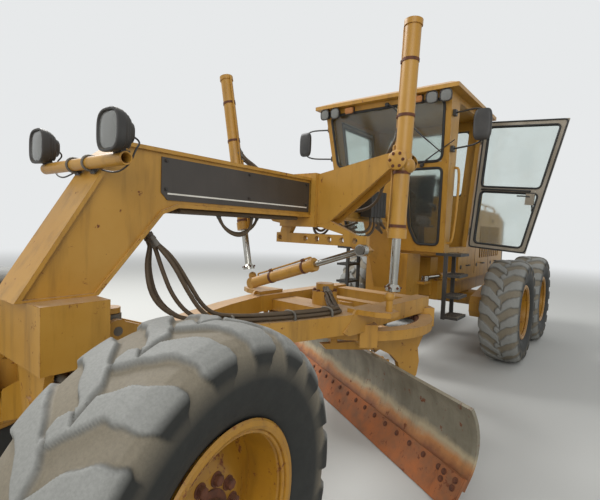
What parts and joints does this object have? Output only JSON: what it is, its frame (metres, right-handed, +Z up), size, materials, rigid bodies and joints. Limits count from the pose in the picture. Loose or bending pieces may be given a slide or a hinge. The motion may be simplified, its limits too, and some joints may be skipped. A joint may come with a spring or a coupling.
{
  "type": "motor grader",
  "caption": "Articulated motor grader with a gooseneck frame, rear tandem drive, leaning front wheels, a glazed cab and a curved blade under a slewing circle.",
  "frame": {"origin": "on the ground below the middle of the overall length, on the centre line", "axes": "+X towards the front wheels, +Y to the machine's left, +Z up"},
  "size_m": [8.5339, 3.3584, 3.2299],
  "materials": {
    "yellow_paint": "worn enamel over steel",
    "dark_paint": "dark satin paint",
    "blade_steel": "scoured and weathered steel",
    "edge_steel": "rusty wear edge",
    "chrome_rod": "polished piston rod",
    "tyre_rubber": "weathered rubber",
    "glass": "clear toughened glass",
    "door_grey": "grey brown paint",
    "seat_cover": "black cloth",
    "hose_rubber": "black rubber",
    "black_plastic": "black moulding",
    "engine_iron": "cast block",
    "steel": "plain steel"
  },
  "bodies": {
    "front_frame": {"main_frame": "yellow_paint", "front_axle": "yellow_paint", "lift_linkage": "yellow_paint", "valve_bank": "dark_paint", "cab_frame": "yellow_paint", "cab_roof": "yellow_paint", "cab_glass": "glass", "seat": "seat_cover", "console": "black_plastic", "steps": "dark_paint", "lamps": "black_plastic", "mirrors": "black_plastic", "hoses": "hose_rubber"},
    "door_left": {"door_left": "door_grey", "door_left_glass": "glass"},
    "door_right": {"door_right": "door_grey", "door_right_glass": "glass"},
    "lean_yoke_left": {"lean_yoke_left": "yellow_paint"},
    "lean_yoke_right": {"lean_yoke_right": "yellow_paint"},
    "lean_bar": {"lean_bar": "steel"},
    "knuckle_left": {"knuckle_left": "yellow_paint"},
    "knuckle_right": {"knuckle_right": "yellow_paint"},
    "tie_rod_end": {"tie_rod_end": "steel"},
    "tie_rod": {"tie_rod": "steel"},
    "front_wheel_left": {"front_wheel_left": "tyre_rubber"},
    "front_wheel_right": {"front_wheel_right": "tyre_rubber"},
    "lift_barrel_left": {"lift_barrel_left": "yellow_paint"},
    "lift_barrel_right": {"lift_barrel_right": "yellow_paint"},
    "lift_rod_left": {"lift_rod_left": "chrome_rod"},
    "lift_rod_right": {"lift_rod_right": "chrome_rod"},
    "shift_pin": {"shift_pin": "steel"},
    "shift_rod": {"shift_rod": "chrome_rod"},
    "shift_barrel": {"shift_barrel": "yellow_paint"},
    "drawbar_swivel": {"drawbar_swivel": "steel"},
    "drawbar": {"drawbar": "yellow_paint"},
    "circle": {"circle": "yellow_paint"},
    "tip_frame": {"tip_frame": "yellow_paint"},
    "tip_barrel": {"tip_barrel": "yellow_paint"},
    "tip_rod": {"tip_rod": "chrome_rod"},
    "moldboard": {"moldboard": "blade_steel", "cutting_edge": "edge_steel"},
    "artic_barrel_left": {"artic_barrel_left": "yellow_paint"},
    "artic_barrel_right": {"artic_barrel_right": "yellow_paint"},
    "artic_rod_left": {"artic_rod_left": "chrome_rod"},
    "artic_rod_right": {"artic_rod_right": "chrome_rod"},
    "rear_wheel_left_front": {"rear_wheel_left_front": "tyre_rubber"},
    "rear_wheel_left_back": {"rear_wheel_left_back": "tyre_rubber"},
    "rear_wheel_right_front": {"rear_wheel_right_front": "tyre_rubber"},
    "rear_wheel_right_back": {"rear_wheel_right_back": "tyre_rubber"},
    "rear_frame": {"rear_frame": "yellow_paint", "tandem_cases": "yellow_paint", "hood": "yellow_paint", "radiator_grille": "dark_paint", "engine": "engine_iron", "exhaust": "dark_paint", "rear_bumper": "yellow_paint"}
  },
  "joints": [
    {"name": "lean_left", "type": "hinge", "parent": "front_frame", "child": "lean_yoke_left", "pos_m": [3.5725, 0.66, 0.52], "axis": [1, 0, 0], "range_deg": [-18, 18]},
    {"name": "steer_left", "type": "hinge", "parent": "lean_yoke_left", "child": "knuckle_left", "pos_m": [3.5725, 0.86, 0.675], "axis": [0, 0, 1], "range_deg": [-57, 43]},
    {"name": "front_wheel_left_spin", "type": "hinge", "parent": "knuckle_left", "child": "front_wheel_left", "pos_m": [3.55056, 1.03866, 0.675], "axis": [-0.1219, 0.9925, 0], "continuous": true},
    {"name": "lean_right", "type": "hinge", "parent": "front_frame", "child": "lean_yoke_right", "pos_m": [3.5725, -0.66, 0.52], "axis": [1, 0, 0], "range_deg": [-18, 18]},
    {"name": "steer_right", "type": "hinge", "parent": "lean_yoke_right", "child": "knuckle_right", "pos_m": [3.5725, -0.86, 0.675], "axis": [0, 0, 1], "range_deg": [-57, 43]},
    {"name": "front_wheel_right_spin", "type": "hinge", "parent": "knuckle_right", "child": "front_wheel_right", "pos_m": [3.59444, -1.03866, 0.675], "axis": [-0.1219, 0.9925, 0], "continuous": true},
    {"name": "lean_bar_hinge", "type": "hinge", "parent": "lean_yoke_left", "child": "lean_bar", "pos_m": [3.6145, 0.66, 0.93], "axis": [1, 0, 0], "range_deg": [-18, 18]},
    {"name": "tie_rod_end_hinge", "type": "hinge", "parent": "knuckle_left", "child": "tie_rod_end", "pos_m": [3.37399, 0.83563, 0.55], "axis": [0, 0, 1], "range_deg": [-43, 57]},
    {"name": "tie_rod_hinge", "type": "hinge", "parent": "tie_rod_end", "child": "tie_rod", "pos_m": [3.32899, 0.83563, 0.55], "axis": [1, 0, 0], "range_deg": [-18, 18]},
    {"name": "articulation", "type": "hinge", "parent": "front_frame", "child": "rear_frame", "pos_m": [-0.5975, 0, 1.08], "axis": [0, 0, 1], "range_deg": [-20, 20]},
    {"name": "artic_cylinder_left", "type": "hinge", "parent": "rear_frame", "child": "artic_barrel_left", "pos_m": [-1.3075, 0.4, 1.11], "axis": [0, 0, 1], "range_deg": [-1.66, 1.66]},
    {"name": "artic_rod_left_slide", "type": "slide", "parent": "artic_barrel_left", "child": "artic_rod_left", "axis": [0.9926, -0.1211, 0], "range_m": [-0.10764, 0.10764]},
    {"name": "artic_cylinder_right", "type": "hinge", "parent": "rear_frame", "child": "artic_barrel_right", "pos_m": [-1.3075, -0.4, 1.11], "axis": [0, 0, 1], "range_deg": [-1.66, 1.66]},
    {"name": "artic_rod_right_slide", "type": "slide", "parent": "artic_barrel_right", "child": "artic_rod_right", "axis": [0.9926, 0.1211, 0], "range_m": [-0.10764, 0.10764]},
    {"name": "rear_wheel_left_front_spin", "type": "hinge", "parent": "rear_frame", "child": "rear_wheel_left_front", "pos_m": [-1.5865, 1.04, 0.675], "axis": [0, 1, 0], "continuous": true},
    {"name": "rear_wheel_left_back_spin", "type": "hinge", "parent": "rear_frame", "child": "rear_wheel_left_back", "pos_m": [-3.1085, 1.04, 0.675], "axis": [0, 1, 0], "continuous": true},
    {"name": "rear_wheel_right_front_spin", "type": "hinge", "parent": "rear_frame", "child": "rear_wheel_right_front", "pos_m": [-1.5865, -1.04, 0.675], "axis": [0, 1, 0], "continuous": true},
    {"name": "rear_wheel_right_back_spin", "type": "hinge", "parent": "rear_frame", "child": "rear_wheel_right_back", "pos_m": [-3.1085, -1.04, 0.675], "axis": [0, 1, 0], "continuous": true},
    {"name": "drawbar_swing", "type": "hinge", "parent": "front_frame", "child": "drawbar_swivel", "pos_m": [3.3125, 0, 1.09], "axis": [0, 0, 1], "range_deg": [-8, 14]},
    {"name": "drawbar_lift", "type": "hinge", "parent": "drawbar_swivel", "child": "drawbar", "pos_m": [3.3125, 0, 1.09], "axis": [-0.0523, -0.9986, 0], "range_deg": [-11, 10]},
    {"name": "lift_cylinder_left", "type": "hinge", "parent": "front_frame", "child": "lift_barrel_left", "pos_m": [1.5825, 0.87, 2.18], "axis": [1, 0, 0], "range_deg": [-23.47, 13.42]},
    {"name": "lift_rod_left_slide", "type": "slide", "parent": "lift_barrel_left", "child": "lift_rod_left", "axis": [0, 0.0306, 0.9995], "range_m": [-0.30218, 0.33239]},
    {"name": "lift_cylinder_right", "type": "hinge", "parent": "front_frame", "child": "lift_barrel_right", "pos_m": [1.5825, -0.87, 2.18], "axis": [1, 0, 0], "range_deg": [-23.46, 13.41]},
    {"name": "lift_rod_right_slide", "type": "slide", "parent": "lift_barrel_right", "child": "lift_rod_right", "axis": [0, -0.208, 0.9781], "range_m": [-0.30879, 0.33966]},
    {"name": "shift_pin_turn", "type": "hinge", "parent": "front_frame", "child": "shift_pin", "pos_m": [1.6745, 0.65, 1.52], "axis": [1, 0, 0], "range_deg": [-5.45, 3.12]},
    {"name": "shift_cylinder", "type": "hinge", "parent": "shift_pin", "child": "shift_rod", "pos_m": [1.7355, 0.65, 1.52], "axis": [1, 0, 0], "range_deg": [-13.97, 12.7]},
    {"name": "shift_barrel_slide", "type": "slide", "parent": "shift_rod", "child": "shift_barrel", "axis": [0, -0.9494, -0.314], "range_m": [-0.22551, 0.39457]},
    {"name": "circle_turn", "type": "hinge", "parent": "drawbar", "child": "circle", "pos_m": [0.99568, 0.12142, 0.84], "axis": [0, 0, 1], "continuous": true},
    {"name": "blade_tip", "type": "hinge", "parent": "circle", "child": "tip_frame", "pos_m": [0.93506, 0.15642, 0.215], "axis": [0.5, 0.866, 0], "range_deg": [-5, 40]},
    {"name": "blade_side_shift", "type": "slide", "parent": "tip_frame", "child": "moldboard", "axis": [0.5, 0.866, 0], "range_m": [-0.493, 0.682]},
    {"name": "tip_cylinder", "type": "hinge", "parent": "circle", "child": "tip_barrel", "pos_m": [0.57435, 0.43165, 0.64], "axis": [0.5, 0.866, 0], "range_deg": [-9.89, 1.24]},
    {"name": "tip_rod_slide", "type": "slide", "parent": "tip_barrel", "child": "tip_rod", "axis": [0.7532, -0.4348, -0.4936], "range_m": [-0.01698, 0.13514]},
    {"name": "door_left", "type": "hinge", "parent": "front_frame", "child": "door_left", "pos_m": [-0.9135, 0.652, 1.45], "axis": [0, 0.073, 0.9973], "range_deg": [-90, 0]},
    {"name": "door_right", "type": "hinge", "parent": "front_frame", "child": "door_right", "pos_m": [-0.9135, -0.652, 1.45], "axis": [0, -0.073, 0.9973], "range_deg": [-90, 0]}
  ],
  "couplings": [
    {"joint": "lean_right", "follows": "lean_left", "ratio": 1},
    {"joint": "lean_bar_hinge", "follows": "lean_left", "ratio": -1},
    {"joint": "steer_right", "follows": "steer_left", "ratio": 1},
    {"joint": "tie_rod_end_hinge", "follows": "steer_left", "ratio": -1},
    {"joint": "tie_rod_hinge", "follows": "lean_left", "ratio": -0.76744},
    {"joint": "artic_cylinder_left", "follows": "articulation", "ratio": -0.082872},
    {"joint": "artic_rod_left_slide", "follows": "articulation", "m_per_rad": 0.30807},
    {"joint": "artic_cylinder_right", "follows": "articulation", "ratio": -0.082872},
    {"joint": "artic_rod_right_slide", "follows": "articulation", "m_per_rad": -0.30807},
    {"joint": "lift_cylinder_left", "follows": "drawbar_swing", "ratio": -1.6763},
    {"joint": "lift_rod_left_slide", "follows": "drawbar_lift", "m_per_rad": -1.7308},
    {"joint": "lift_cylinder_right", "follows": "drawbar_swing", "ratio": -1.675},
    {"joint": "lift_rod_right_slide", "follows": "drawbar_lift", "m_per_rad": -1.7687},
    {"joint": "shift_pin_turn", "follows": "drawbar_swing", "ratio": -0.38904},
    {"joint": "shift_cylinder", "follows": "drawbar_lift", "ratio": 1.2695},
    {"joint": "shift_barrel_slide", "follows": "drawbar_swing", "m_per_rad": 1.6144},
    {"joint": "tip_cylinder", "follows": "blade_tip", "ratio": -0.24706},
    {"joint": "tip_rod_slide", "follows": "blade_tip", "m_per_rad": 0.19343}
  ]
}
